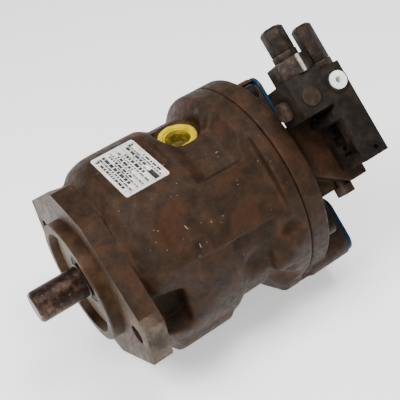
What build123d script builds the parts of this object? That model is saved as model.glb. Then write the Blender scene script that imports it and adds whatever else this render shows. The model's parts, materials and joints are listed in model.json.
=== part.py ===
from build123d import *

import math
import os

# Axial piston pump, swash plate type, with a two-spool pressure and flow controller.
#
# Frame: +X runs along the drive shaft from the coupling end to the ports, +Y along the two
# flange ears, +Z up through the drain port.  The origin is where the shaft axis crosses the
# mounting face of the flange.  Millimetres.  P is the direction from port to port and Q the
# direction from the shaft to the controller; both lie across the shaft, turned from Y and Z.

# ---- driving dimensions ----
PILOT_DIAMETER = 125.0
PILOT_DEPTH = 12.0
EAR_HOLE_PITCH = 180.0
EAR_HOLE_DIAMETER = 18.0
FLANGE_THICKNESS = 20.0
SHAFT_DIAMETER = 32.0
SHAFT_TIP_X = -58.0
JOINT_X = 185.0
RIM_RADIUS = 109.5
PORT_FACE_X = 238.0
TILT_X = 72.0
PISTON_COUNT = 9
PISTON_PITCH_RADIUS = 38.0
PISTON_RADIUS = 9.5
PORT_ANGLE = 45.0
SUCTION_P = 61.0
PRESSURE_P = -81.0
FLOW_X = 227.5
PRESSURE_X = 255.5
PILOT_PORT_X = 252.5
SPOOL_Q = 130.0
VALVE_BASE_Q = 98.0
VALVE_TOP_Q = 143.0

# ---- sizes shared between pieces ----
BODY_RADIUS = 101.0
WAIST_RADIUS = 94.0
FRONT_WALL_X = 34.0
FRONT_CAVITY_RADIUS = 60.0
CAVITY_RADIUS = 76.0
SEAL_BORE_RADIUS = 27.0
FRONT_BEARING = (12.0, 32.0)
REAR_BEARING = (184.0, 202.0)
FRONT_RINGS = (20.0, 25.6, 32.0, 38.0)
REAR_RINGS = (15.0, 19.2, 24.0, 29.0)
CRADLE_RADIUS = 34.0
SHELL_RADII = (34.3, 37.0)
SWASH_THICKNESS = 12.0
SWASH_RADIUS = 54.0
SWASH_HOLE_RADIUS = 26.0
SERVO_Q = 64.0
SERVO_RADIUS = 7.0
SLEEVE_RADIUS = 10.5
SLEEVE_FRONT_X = 120.0
BLOCK_FRONT_X = 102.0
BLOCK_REAR_X = 172.0
BLOCK_RADIUS = 52.5
VALVE_PLATE_X = 172.2
REGISTER_X = 180.0
DISC_REAR_X = 206.0
KIDNEY_RADII = (33.0, 43.0)
RUN_GAP = 0.3
DRAIN_X = 131.0
DRAIN_Y = 17.0
DRAIN_SEAT_Z = 84.0
DRAIN_BORE_RADIUS = 13.0
PLATE_X = 69.0
PLATE_Z = 94.8
PLATE_SIZE = (45.6, 66.8)
SCREW_CIRCLE_RADIUS = 96.0
SCREW_ANGLES = (40.0, 140.0, 220.0, 320.0)
DOWEL_RADIUS = 4.0
SPOOL_RADIUS = 5.0
VALVE_BLOCK_X = (238.0, 264.0)
VALVE_BLOCK_P = (-34.0, 57.0)
FLOW_BLOCK_X = (206.5, 240.0)
FLOW_BLOCK_P = (25.0, 62.0)
PILOT_PORT_P = 41.0
RECESS_FLOOR_Q = 110.0
VALVE_SCREWS = ((242.5, -16.0, 110.0), (242.5, 2.0, 110.0), (254.0, -27.4, 137.0))
VALVE_SCREW_RADIUS = 3.0
VALVE_SCREW_DEPTH = 14.0

turn = math.radians(PORT_ANGLE)
PORT_DIR = Vector(0, math.cos(turn), math.sin(turn))
VALVE_DIR = Vector(0, -math.sin(turn), math.cos(turn))
SHAFT_DIR = Vector(1, 0, 0)


def ear_section(x):
    """Plane across the shaft at x: local x along +Y, local y along +Z."""
    return Plane(origin=(x, 0, 0), x_dir=(0, 1, 0), z_dir=(1, 0, 0))


def port_section(x):
    """Plane across the shaft at x: local x along P, local y along Q."""
    return Plane(origin=(x, 0, 0), x_dir=PORT_DIR, z_dir=(1, 0, 0))


def spool_section(p):
    """Plane across the spools at p: local x along X, local y along Q, facing away from P."""
    return Plane(origin=PORT_DIR * p, x_dir=(1, 0, 0), z_dir=PORT_DIR * -1)


def valve_level(q):
    """Plane parallel to the controller's seat at q: local x along X, local y along P."""
    return Plane(origin=VALVE_DIR * q, x_dir=(1, 0, 0), z_dir=VALVE_DIR)


os.makedirs("parts", exist_ok=True)


def write(solid, node):
    """Label a finished solid and write it."""
    solid.label = node
    export_step(solid, f"parts/{node}.step")


def save(piece, node):
    """Write what a finished builder holds."""
    write(piece.part, node)


def turned(profile):
    """Solid turned about the shaft axis from (x, radius) points, for use outside a builder."""
    with BuildPart() as piece:
        with BuildSketch(Plane.XY):
            with BuildLine():
                Polyline(*profile, close=True)
            make_face()
        revolve(axis=Axis.X)
    return piece


def save_ring(x0, x1, inner, outer, node):
    """Write a plain ring about the shaft axis."""
    save(turned([(x0, inner), (x0, outer), (x1, outer), (x1, inner)]), node)


# ---- casing ----
EAR_HALF_WIDTH = 30.0
EAR_TIP_Y = 111.0
FOOT_P = -58.0
FOOT_RADIUS = 49.0
LOBE_P = -78.0
LOBE_RADIUS = 37.0
PANEL_Q = 98.5
PANEL_OUTLINE = ((56.0, -33.0), (63.0, 3.0), (80.0, 23.0), (JOINT_X, 23.0), (JOINT_X, -37.0))
BOSS_RADIUS = 13.0
BOSS_FRONT_X = 146.0
ACCESS_RADIUS = 22.0
ACCESS_Y = 93.0
ACCESS_DEPTH = 34.0

with BuildPart() as housing:
    # shoulder, waist and rear rim, turned
    with BuildSketch(Plane.XY):
        with BuildLine():
            Polyline((0, 0), (0, 84), (FLANGE_THICKNESS, 84), (32, 96), (47, BODY_RADIUS), (106, BODY_RADIUS),
                     (118, WAIST_RADIUS), (150, WAIST_RADIUS), (164, RIM_RADIUS), (JOINT_X, RIM_RADIUS),
                     (JOINT_X, 0), close=True)
        make_face()
    revolve(axis=Axis.X)
    # thickened side under the pressure port, and the rim's lobe in line with it
    with BuildSketch(port_section(38)):
        with Locations((FOOT_P, 0)):
            Circle(FOOT_RADIUS)
    extrude(amount=62)
    with BuildSketch(port_section(166)):
        with Locations((LOBE_P, 0)):
            Circle(LOBE_RADIUS)
    extrude(amount=JOINT_X - 166)
    # flat panel over the control piston, and a boss round each port plate screw
    with BuildSketch(valve_level(60)):
        with BuildLine():
            Polyline(*PANEL_OUTLINE, close=True)
        make_face()
    extrude(amount=PANEL_Q - 60)
    with BuildSketch(valve_level(PANEL_Q)):
        with Locations((113, 0)):
            Rectangle(114, 100)
    extrude(amount=20, mode=Mode.SUBTRACT)
    with BuildSketch(port_section(BOSS_FRONT_X)):
        for angle in SCREW_ANGLES:
            with PolarLocations(SCREW_CIRCLE_RADIUS, 1, angle):
                Circle(BOSS_RADIUS)
    extrude(amount=JOINT_X - BOSS_FRONT_X)
    # spanner room behind each ear, and the flats for the name plate and the drain ports
    with BuildSketch(ear_section(FLANGE_THICKNESS)):
        with Locations((ACCESS_Y, 0), (-ACCESS_Y, 0)):
            Circle(ACCESS_RADIUS)
    extrude(amount=ACCESS_DEPTH, mode=Mode.SUBTRACT)
    with BuildSketch(Plane.XY.offset(PLATE_Z)):
        with Locations((PLATE_X, 0)):
            Rectangle(62, 90)
    extrude(amount=20, mode=Mode.SUBTRACT)
    with BuildSketch(Plane.XY.offset(DRAIN_SEAT_Z)):
        with Locations((DRAIN_X, DRAIN_Y)):
            Circle(24)
    extrude(amount=30, mode=Mode.SUBTRACT)
    with BuildSketch(Plane.XY.offset(-DRAIN_SEAT_Z)):
        with Locations((DRAIN_X, -DRAIN_Y)):
            Circle(24)
    extrude(amount=-30, mode=Mode.SUBTRACT)
    # flange plate with its two ears, and the pilot spigot
    with BuildSketch(ear_section(0)) as flange_outline:
        with BuildLine():
            Polyline((EAR_TIP_Y, EAR_HALF_WIDTH - 6), (EAR_TIP_Y, -EAR_HALF_WIDTH + 6),
                     (EAR_TIP_Y - 8, -EAR_HALF_WIDTH), (30, -86), (-30, -86),
                     (-EAR_TIP_Y + 8, -EAR_HALF_WIDTH), (-EAR_TIP_Y, -EAR_HALF_WIDTH + 6),
                     (-EAR_TIP_Y, EAR_HALF_WIDTH - 6), (-EAR_TIP_Y + 8, EAR_HALF_WIDTH), (-30, 86),
                     (30, 86), (EAR_TIP_Y - 8, EAR_HALF_WIDTH), close=True)
        make_face()
        fillet(flange_outline.vertices(), 5)
    extrude(amount=FLANGE_THICKNESS)
    with BuildSketch(ear_section(-PILOT_DEPTH)):
        Circle(PILOT_DIAMETER / 2)
    extrude(amount=PILOT_DEPTH)
    with BuildSketch(ear_section(0)):
        with Locations((EAR_HOLE_PITCH / 2, 0), (-EAR_HOLE_PITCH / 2, 0)):
            Circle(EAR_HOLE_DIAMETER / 2)
    extrude(amount=FLANGE_THICKNESS, mode=Mode.SUBTRACT)
    # pilot recess, seal bore, bearing bore and the hollow for the rotating group
    with BuildSketch(Plane.XY):
        with BuildLine():
            Polyline((-PILOT_DEPTH, 0), (-PILOT_DEPTH, 53), (-4, 50), (-4, SEAL_BORE_RADIUS),
                     (10, SEAL_BORE_RADIUS), (10, FRONT_RINGS[3]), (FRONT_WALL_X, FRONT_RINGS[3]),
                     (FRONT_WALL_X, FRONT_CAVITY_RADIUS), (66, FRONT_CAVITY_RADIUS), (78, CAVITY_RADIUS),
                     (JOINT_X, CAVITY_RADIUS), (JOINT_X, 0), close=True)
        make_face()
    revolve(axis=Axis.X, mode=Mode.SUBTRACT)
    with BuildSketch(port_section(38)):
        Rectangle(26, 2 * CAVITY_RADIUS)
    extrude(amount=50, mode=Mode.SUBTRACT)
    # saddles that carry the cradle bearings
    with BuildSketch(port_section(FRONT_WALL_X - 1)):
        with Locations((37, 0), (-37, 0)):
            Rectangle(20, 56)
    extrude(amount=20)
    with BuildSketch(spool_section(60)):
        with Locations((TILT_X, 0)):
            Circle(SHELL_RADII[1])
    extrude(amount=120, mode=Mode.SUBTRACT)
    # drain ports, screw and dowel holes
    with BuildSketch(Plane.XY.offset(60)):
        with Locations((DRAIN_X, DRAIN_Y)):
            Circle(DRAIN_BORE_RADIUS)
    extrude(amount=40, mode=Mode.SUBTRACT)
    with BuildSketch(Plane.XY.offset(-60)):
        with Locations((DRAIN_X, -DRAIN_Y)):
            Circle(DRAIN_BORE_RADIUS)
    extrude(amount=-40, mode=Mode.SUBTRACT)
    with BuildSketch(port_section(JOINT_X)):
        for angle in SCREW_ANGLES:
            with PolarLocations(SCREW_CIRCLE_RADIUS, 1, angle):
                Circle(6)
    extrude(amount=-19, mode=Mode.SUBTRACT)
    with BuildSketch(port_section(JOINT_X)):
        with PolarLocations(92, 2, 65):
            Circle(DOWEL_RADIUS)
    extrude(amount=-8, mode=Mode.SUBTRACT)
save(housing, "housing")

# ---- port plate ----
BLOCK_P = (-46.0, 28.0)
BLOCK_X = (196.0, 262.0)
REAR_P = (-113.0, 92.0)
REAR_HALF_Q = 40.0
END_PLUG_X = 238.0
END_PLUG_Q = 84.0
PORT_SCREW_HALF = (21.45, 38.9)


def kidney(x0, x1, centre_angle):
    """Bean-shaped slot between x0 and x1 for subtracting, centred on an angle from P."""
    with BuildPart(mode=Mode.PRIVATE) as bean:
        with BuildSketch(port_section(x0)):
            with Locations(Rot(0, 0, centre_angle)):
                SlotArc(CenterArc((0, 0), sum(KIDNEY_RADII) / 2, -50, 100), KIDNEY_RADII[1] - KIDNEY_RADII[0])
        extrude(amount=x1 - x0)
    return bean.part


with BuildPart() as port_plate:
    # rim disc with the register that enters the casing
    with BuildSketch(port_section(JOINT_X)):
        Circle(RIM_RADIUS)
        with Locations((LOBE_P, 0)):
            Circle(LOBE_RADIUS)
    extrude(amount=DISC_REAR_X - JOINT_X)
    with BuildSketch(port_section(REGISTER_X)):
        Circle(CAVITY_RADIUS - RUN_GAP)
    extrude(amount=JOINT_X - REGISTER_X)
    # rear body that holds both ports
    with BuildSketch(port_section(JOINT_X + 4)) as rear_outline:
        with Locations(((REAR_P[0] + REAR_P[1]) / 2, 0)):
            Rectangle(REAR_P[1] - REAR_P[0], 2 * REAR_HALF_Q)
        fillet(rear_outline.vertices(), 16)
    extrude(amount=PORT_FACE_X - JOINT_X - 4)
    # seat for the controller, with one corner cut back
    with BuildSketch(valve_level(30)):
        with BuildLine():
            Polyline((BLOCK_X[0], BLOCK_P[1]), (BLOCK_X[1], BLOCK_P[1]), (BLOCK_X[1], BLOCK_P[0]),
                     (BLOCK_X[0], BLOCK_P[0]), close=True)
        make_face()
    extrude(amount=56)
    with BuildSketch(valve_level(80)):
        with BuildLine():
            Polyline((BLOCK_X[0], BLOCK_P[1]), (BLOCK_X[1], BLOCK_P[1]), (BLOCK_X[1], BLOCK_P[0]),
                     (242, BLOCK_P[0]), (BLOCK_X[0], -14), close=True)
        make_face()
    extrude(amount=VALVE_BASE_Q - 80)
    # sleeves for the two servo pistons
    with BuildSketch(port_section(SLEEVE_FRONT_X)):
        with Locations((0, SERVO_Q), (0, -SERVO_Q)):
            Circle(SLEEVE_RADIUS)
    extrude(amount=REGISTER_X - SLEEVE_FRONT_X)
    with BuildSketch(port_section(SLEEVE_FRONT_X)):
        with Locations((0, SERVO_Q), (0, -SERVO_Q)):
            Circle(SERVO_RADIUS + 0.05)
    extrude(amount=78, mode=Mode.SUBTRACT)
    # rear bearing pocket
    with BuildSketch(port_section(REGISTER_X)):
        Circle(22)
    extrude(amount=10, mode=Mode.SUBTRACT)
    with BuildSketch(port_section(183)):
        Circle(REAR_RINGS[3])
    extrude(amount=21, mode=Mode.SUBTRACT)
    # oil ways: kidneys, suction bore, pressure bore and its cross drilling
    add(kidney(REGISTER_X, 200, 0), mode=Mode.SUBTRACT)
    add(kidney(REGISTER_X, 200, 180), mode=Mode.SUBTRACT)
    with BuildSketch(port_section(PORT_FACE_X)):
        with Locations((SUCTION_P, 0)):
            Circle(25)
    extrude(amount=-42, mode=Mode.SUBTRACT)
    with BuildSketch(port_section(PORT_FACE_X)):
        with Locations((PRESSURE_P, 0)):
            Circle(12.5)
    extrude(amount=-36, mode=Mode.SUBTRACT)
    with BuildSketch(spool_section(-34)):
        with Locations((DISC_REAR_X, 0)):
            Circle(9)
    extrude(amount=50, mode=Mode.SUBTRACT)
    # threaded holes round each port
    with BuildSketch(port_section(PORT_FACE_X)):
        with Locations((SUCTION_P, 0)):
            with GridLocations(2 * PORT_SCREW_HALF[0], 66, 2, 2):
                Circle(5)
        with Locations((PRESSURE_P, 0)):
            with GridLocations(26.2, 52.4, 2, 2):
                Circle(4.2)
    extrude(amount=-18, mode=Mode.SUBTRACT)
    # seal groove, screw holes, dowel holes and controller screw holes
    with BuildSketch(port_section(JOINT_X)):
        Circle(83)
        Circle(79, mode=Mode.SUBTRACT)
    extrude(amount=2.5, mode=Mode.SUBTRACT)
    with BuildSketch(port_section(JOINT_X)):
        for angle in SCREW_ANGLES:
            with PolarLocations(SCREW_CIRCLE_RADIUS, 1, angle):
                Circle(6)
    extrude(amount=DISC_REAR_X - JOINT_X, mode=Mode.SUBTRACT)
    with BuildSketch(port_section(JOINT_X)):
        with PolarLocations(92, 2, 65):
            Circle(DOWEL_RADIUS)
    extrude(amount=8, mode=Mode.SUBTRACT)
    with BuildSketch(valve_level(VALVE_BASE_Q)):
        for x, p, seat in VALVE_SCREWS:
            with Locations((x, p)):
                Circle(VALVE_SCREW_RADIUS)
    extrude(amount=-VALVE_SCREW_DEPTH, mode=Mode.SUBTRACT)
    with BuildSketch(spool_section(BLOCK_P[0])):
        with Locations((END_PLUG_X, END_PLUG_Q)):
            Circle(6)
    extrude(amount=-12, mode=Mode.SUBTRACT)
save(port_plate, "port_plate")

# ---- drive shaft with its keyway, and front seal ----
KEY_WIDTH = 10.0
KEY_SPAN = (-54.0, -14.0)
KEY_ANGLE = math.radians(-67.5)
KEY_DIR = Vector(0, math.cos(KEY_ANGLE), math.sin(KEY_ANGLE))

drive_shaft = turned([(SHAFT_TIP_X, 0), (SHAFT_TIP_X, SHAFT_DIAMETER / 2 - 2),
                      (SHAFT_TIP_X + 2, SHAFT_DIAMETER / 2), (-8, SHAFT_DIAMETER / 2), (-7, 17.5), (10, 17.5),
                      (10, 20), (100, 20), (100, 18), (176, 18), (176, 15), (203, 15), (203, 0)])
with BuildPart() as keyway:
    with BuildSketch(Plane(origin=KEY_DIR * 11, x_dir=(1, 0, 0), z_dir=KEY_DIR)):
        with Locations((sum(KEY_SPAN) / 2, 0)):
            SlotOverall(KEY_SPAN[1] - KEY_SPAN[0], KEY_WIDTH)
    extrude(amount=8)
with BuildPart() as keyed_shaft:
    add(drive_shaft.part)
    add(keyway.part, mode=Mode.SUBTRACT)
save(keyed_shaft, "drive_shaft")
save(turned([(-3, 17.9), (-3, SEAL_BORE_RADIUS), (6, SEAL_BORE_RADIUS), (6, 22), (0, 22), (0, 17.9)]), "shaft_seal")
save_ring(-4, -3, 24.5, SEAL_BORE_RADIUS, "seal_retaining_ring")


# ---- shaft bearings ----
def save_rollers(span, rings, count, node):
    """Write one bearing's ring of rollers, each a separate solid."""
    pitch = (rings[1] + rings[2]) / 2
    radius = (rings[2] - rings[1]) / 2 - RUN_GAP
    with BuildPart() as rollers:
        with BuildSketch(ear_section(span[0] + 2)):
            with PolarLocations(pitch, count):
                Circle(radius)
        extrude(amount=span[1] - span[0] - 4)
    save(rollers, node)


save_ring(*FRONT_BEARING, FRONT_RINGS[0], FRONT_RINGS[1], "front_bearing_inner")
save_ring(*FRONT_BEARING, FRONT_RINGS[2], FRONT_RINGS[3], "front_bearing_outer")
save_rollers(FRONT_BEARING, FRONT_RINGS, 18, "front_bearing_rollers")
save_ring(*REAR_BEARING, REAR_RINGS[0], REAR_RINGS[1], "rear_bearing_inner")
save_ring(*REAR_BEARING, REAR_RINGS[2], REAR_RINGS[3], "rear_bearing_outer")
save_rollers(REAR_BEARING, REAR_RINGS, 18, "rear_bearing_rollers")

# ---- swash plate on its cradle ----
LOBE_CENTRE_P = 37.0
LOBE_WIDTH = 18.0

with BuildPart() as swash_plate:
    with BuildSketch(port_section(TILT_X)):
        Circle(SWASH_RADIUS)
        Rectangle(18, 2 * (SERVO_Q + 7))
    extrude(amount=-SWASH_THICKNESS)
    for side in (1, -1):
        with BuildSketch(spool_section(side * LOBE_CENTRE_P + LOBE_WIDTH / 2)):
            with Locations((TILT_X, 0)):
                Circle(CRADLE_RADIUS)
            with Locations((TILT_X - SWASH_THICKNESS / 2 + CRADLE_RADIUS, 0)):
                Rectangle(2 * CRADLE_RADIUS, 2 * CRADLE_RADIUS, mode=Mode.SUBTRACT)
        extrude(amount=LOBE_WIDTH)
    with BuildSketch(port_section(TILT_X)):
        Circle(SWASH_HOLE_RADIUS)
    extrude(amount=-2 * CRADLE_RADIUS, mode=Mode.SUBTRACT)
save(swash_plate, "swash_plate")

for side, node in ((1, "cradle_bearing_upper"), (-1, "cradle_bearing_lower")):
    with BuildPart() as cradle_bearing:
        with BuildSketch(spool_section(side * LOBE_CENTRE_P + LOBE_WIDTH / 2)):
            with Locations((TILT_X, 0)):
                Circle(SHELL_RADII[1])
                Circle(SHELL_RADII[0], mode=Mode.SUBTRACT)
            with Locations((TILT_X - SHELL_RADII[1], 0)):
                Rectangle(2 * SHELL_RADII[1], 50, mode=Mode.INTERSECT)
        extrude(amount=LOBE_WIDTH)
        with BuildSketch(spool_section(side * LOBE_CENTRE_P + LOBE_WIDTH / 2)):
            with Locations((TILT_X, 0)):
                Rectangle(2 * 20, 60)
        extrude(amount=LOBE_WIDTH, mode=Mode.SUBTRACT)
    save(cradle_bearing, node)

# ---- cylinder block with its spring and hold-down ----
BLOCK_PORT_RADIUS = 5.0
BORE_END_X = 164.0
SPRING_CAVITY = (112.0, 150.0, 27.0)
BALL_CENTRE_X = TILT_X + 6.0
BALL_RADIUS = 4.6
GUIDE_RADIUS = 25.5

with BuildPart() as cylinder_block:
    with BuildSketch(ear_section(BLOCK_FRONT_X)):
        Circle(BLOCK_RADIUS)
        Circle(18.05, mode=Mode.SUBTRACT)
    extrude(amount=BLOCK_REAR_X - BLOCK_FRONT_X)
    with BuildSketch(port_section(BLOCK_FRONT_X)):
        with PolarLocations(PISTON_PITCH_RADIUS, PISTON_COUNT):
            Circle(PISTON_RADIUS + 0.05)
    extrude(amount=BORE_END_X - BLOCK_FRONT_X, mode=Mode.SUBTRACT)
    with BuildSketch(port_section(BORE_END_X)):
        with PolarLocations(PISTON_PITCH_RADIUS, PISTON_COUNT):
            Circle(BLOCK_PORT_RADIUS)
    extrude(amount=BLOCK_REAR_X - BORE_END_X, mode=Mode.SUBTRACT)
    with BuildSketch(ear_section(SPRING_CAVITY[0])):
        Circle(SPRING_CAVITY[2])
    extrude(amount=SPRING_CAVITY[1] - SPRING_CAVITY[0], mode=Mode.SUBTRACT)
save(cylinder_block, "cylinder_block")


def coil_spring(x0, x1, radius, wire, turns, axis_start, axis_dir):
    """Round-wire coil along axis_dir from x0 to x1, its ends closed by the wire's own length."""
    height = x1 - x0 - 2 * wire
    with BuildPart(mode=Mode.PRIVATE) as coil:
        with BuildLine() as path:
            Helix(pitch=height / turns, height=height, radius=radius,
                  center=axis_start + axis_dir * (x0 + wire), direction=axis_dir)
        with BuildSketch(Plane(origin=path.line @ 0, z_dir=path.line % 0)):
            Circle(wire)
        sweep(is_frenet=True)
    return coil


save(coil_spring(SPRING_CAVITY[0], SPRING_CAVITY[1], 22.6, 1.8, 5, Vector(0, 0, 0), SHAFT_DIR), "block_spring")

with BuildPart() as retainer_ball:
    with BuildSketch(Plane.XY):
        with Locations((TILT_X, 0)):
            Circle(GUIDE_RADIUS)
        with Locations((TILT_X + 9.5, 22.75)):
            Rectangle(13, 5.5, mode=Mode.INTERSECT)
    revolve(axis=Axis.X)
save(retainer_ball, "retainer_ball")

with BuildPart() as retainer_plate:
    with BuildSketch(Plane.XY):
        with Locations((TILT_X + 5.3, 25.5)):
            Rectangle(3, 51)
        with Locations((TILT_X, 0)):
            Circle(GUIDE_RADIUS + RUN_GAP, mode=Mode.SUBTRACT)
    revolve(axis=Axis.X)
    with BuildSketch(port_section(TILT_X + 3.8)):
        with PolarLocations(PISTON_PITCH_RADIUS, PISTON_COUNT):
            Circle(10)
    extrude(amount=3, mode=Mode.SUBTRACT)
save(retainer_plate, "retainer_plate")

# ---- pistons and their slippers ----
NECK_RADIUS = 2.9
CONE_X = (84.0, 89.0)
PISTON_END_X = 148.0
SLIPPER_NECK = 6.6
SLIPPER_TOP = 8.2

with BuildPart() as piston:
    with BuildSketch(Plane.XY):
        with BuildLine():
            Polyline((BALL_CENTRE_X, 0), (BALL_CENTRE_X, NECK_RADIUS), (CONE_X[0], NECK_RADIUS),
                     (CONE_X[1], PISTON_RADIUS), (PISTON_END_X, PISTON_RADIUS), (PISTON_END_X, 6),
                     (110, 6), (106, 1.2), (106, 0), close=True)
        make_face()
    revolve(axis=Axis.X)
    with Locations((BALL_CENTRE_X, 0, 0)):
        Sphere(BALL_RADIUS)

with BuildPart() as slipper:
    with BuildSketch(Plane.XY):
        with BuildLine():
            Polyline((TILT_X + RUN_GAP, 0), (TILT_X + RUN_GAP, 11.5), (TILT_X + 3.2, 11.5),
                     (TILT_X + 3.2, SLIPPER_NECK), (TILT_X + SLIPPER_TOP, SLIPPER_NECK - 0.8),
                     (TILT_X + SLIPPER_TOP, 0), close=True)
        make_face()
        with Locations((BALL_CENTRE_X, 0)):
            Circle(BALL_RADIUS + 0.05, mode=Mode.SUBTRACT)
    revolve(axis=Axis.X)

for number in range(PISTON_COUNT):
    heading = 2 * math.pi * number / PISTON_COUNT
    centre = PORT_DIR * (PISTON_PITCH_RADIUS * math.cos(heading))
    centre = centre + VALVE_DIR * (PISTON_PITCH_RADIUS * math.sin(heading))
    write(Location(centre) * piston.part, f"piston_{number + 1}")
    write(Location(centre) * slipper.part, f"slipper_{number + 1}")

# ---- valve plate between the block and the port plate ----
with BuildPart() as valve_plate:
    with BuildSketch(port_section(VALVE_PLATE_X)):
        Circle(50)
        Circle(20, mode=Mode.SUBTRACT)
    extrude(amount=REGISTER_X - VALVE_PLATE_X)
    add(kidney(VALVE_PLATE_X, REGISTER_X, 0), mode=Mode.SUBTRACT)
    add(kidney(VALVE_PLATE_X, REGISTER_X, 180), mode=Mode.SUBTRACT)
save(valve_plate, "valve_plate")


# ---- servo pistons and the return spring ----
def save_servo(side, end_x, collar, node):
    """Write one servo piston: a round nose that meets the swash plate's arm, and a long stem."""
    centre = VALVE_DIR * (side * SERVO_Q)
    nose_x = TILT_X + RUN_GAP + 0.05 + SERVO_RADIUS
    with BuildPart() as servo:
        with BuildSketch(Plane(origin=(0, 0, 0), x_dir=PORT_DIR, z_dir=(1, 0, 0)).offset(nose_x)):
            with Locations((0, side * SERVO_Q)):
                Circle(SERVO_RADIUS)
        extrude(amount=end_x - nose_x)
        with Locations(centre + SHAFT_DIR * nose_x):
            Sphere(SERVO_RADIUS)
        if collar:
            with BuildSketch(port_section(84)):
                with Locations((0, side * SERVO_Q)):
                    Circle(SLEEVE_RADIUS - 0.5)
            extrude(amount=4)
    save(servo, node)


save_servo(1, 176, False, "control_piston")
save_servo(-1, 194, True, "counter_piston")
save(coil_spring(88, SLEEVE_FRONT_X, 8.9, 1.1, 6, VALVE_DIR * -SERVO_Q, SHAFT_DIR), "return_spring")

# ---- joint seal, dowels and the screws that hold the port plate ----
save_ring(JOINT_X, JOINT_X + 2.4, 79.1, 82.9, "casing_seal")

with BuildPart() as dowel_pins:
    with BuildSketch(port_section(JOINT_X - 8)):
        with PolarLocations(92, 2, 65):
            Circle(DOWEL_RADIUS)
    extrude(amount=16)
save(dowel_pins, "dowel_pins")


def cap_screws(places, shank_radius, shank_length, head_radius, head_height):
    """Socket-head screws whose heads stand up from the given planes."""
    socket_radius = head_radius * 0.55
    with BuildPart(mode=Mode.PRIVATE) as screws:
        for place in places:
            with BuildSketch(place):
                Circle(shank_radius)
            extrude(amount=-shank_length)
            with BuildSketch(place):
                Circle(head_radius)
            extrude(amount=head_height)
            with BuildSketch(place.offset(head_height * 0.45)):
                RegularPolygon(socket_radius, 6)
            extrude(amount=head_height, mode=Mode.SUBTRACT)
    return screws


rear_places = []
for angle in SCREW_ANGLES:
    heading = math.radians(angle)
    spot = PORT_DIR * (SCREW_CIRCLE_RADIUS * math.cos(heading))
    spot = spot + VALVE_DIR * (SCREW_CIRCLE_RADIUS * math.sin(heading)) + SHAFT_DIR * DISC_REAR_X
    rear_places.append(Plane(origin=spot, x_dir=PORT_DIR, z_dir=(1, 0, 0)))
save(cap_screws(rear_places, 6, 38, 9, 12), "port_plate_screws")

# ---- name plate, drain plugs and shipping covers ----
with BuildPart() as name_plate:
    with BuildSketch(Plane.XY.offset(PLATE_Z)) as plate_outline:
        with Locations((PLATE_X, 0)):
            Rectangle(*PLATE_SIZE)
        fillet(plate_outline.vertices(), 2.5)
        with Locations((PLATE_X, 0)):
            with GridLocations(PLATE_SIZE[0] - 8, PLATE_SIZE[1] - 8, 2, 2):
                Circle(1.2, mode=Mode.SUBTRACT)
    extrude(amount=1)
save(name_plate, "name_plate")

with BuildPart() as rivets:
    with BuildSketch(Plane.XY.offset(PLATE_Z)):
        with Locations((PLATE_X, 0)):
            with GridLocations(PLATE_SIZE[0] - 8, PLATE_SIZE[1] - 8, 2, 2):
                Circle(1.2)
    extrude(amount=1)
    with BuildSketch(Plane.XY.offset(PLATE_Z + 1)):
        with Locations((PLATE_X, 0)):
            with GridLocations(PLATE_SIZE[0] - 8, PLATE_SIZE[1] - 8, 2, 2):
                Circle(2.6)
    extrude(amount=1.1, taper=25)
save(rivets, "name_plate_rivets")

with BuildPart() as drain_cap:
    with BuildSketch(Plane(origin=(DRAIN_X, DRAIN_Y, 0), x_dir=(1, 0, 0), z_dir=(0, -1, 0))):
        with BuildLine():
            Polyline((0, 70), (12.8, 70), (12.8, DRAIN_SEAT_Z), (19.4, DRAIN_SEAT_Z), (19.4, 85.6),
                     (18.8, 86.2), (13.8, 86.2), (11.2, 84.6), (10.9, 72), (0, 72), close=True)
        make_face()
    revolve(axis=Axis((DRAIN_X, DRAIN_Y, 0), (0, 0, 1)))
save(drain_cap, "drain_port_cap")

with BuildPart() as drain_plug:
    with BuildSketch(Plane.XY.offset(-DRAIN_SEAT_Z)):
        with Locations((DRAIN_X, -DRAIN_Y)):
            Circle(17)
    extrude(amount=-5)
    with BuildSketch(Plane.XY.offset(-DRAIN_SEAT_Z)):
        with Locations((DRAIN_X, -DRAIN_Y)):
            Circle(DRAIN_BORE_RADIUS)
    extrude(amount=7)
    with BuildSketch(Plane.XY.offset(-DRAIN_SEAT_Z - 5)):
        with Locations((DRAIN_X, -DRAIN_Y)):
            RegularPolygon(7, 6)
    extrude(amount=7, mode=Mode.SUBTRACT)
save(drain_plug, "lower_drain_plug")

with BuildPart() as port_covers:
    with BuildSketch(port_section(PORT_FACE_X)) as cover_outline:
        with Locations((SUCTION_P, 0), (PRESSURE_P, 0)):
            Rectangle(60, 78)
        fillet(cover_outline.vertices(), 14)
    extrude(amount=4)
    with BuildSketch(port_section(PORT_FACE_X + 4)):
        with Locations((SUCTION_P, 0), (PRESSURE_P, 0)):
            Circle(22)
            Circle(19, mode=Mode.SUBTRACT)
    extrude(amount=2)
save(port_covers, "port_covers")

# ---- controller body ----
FLOW_BASE_Q = 104.0
CAP_HOLE_RADIUS = 12.0
NECK_BORE_RADIUS = 6.5

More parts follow.
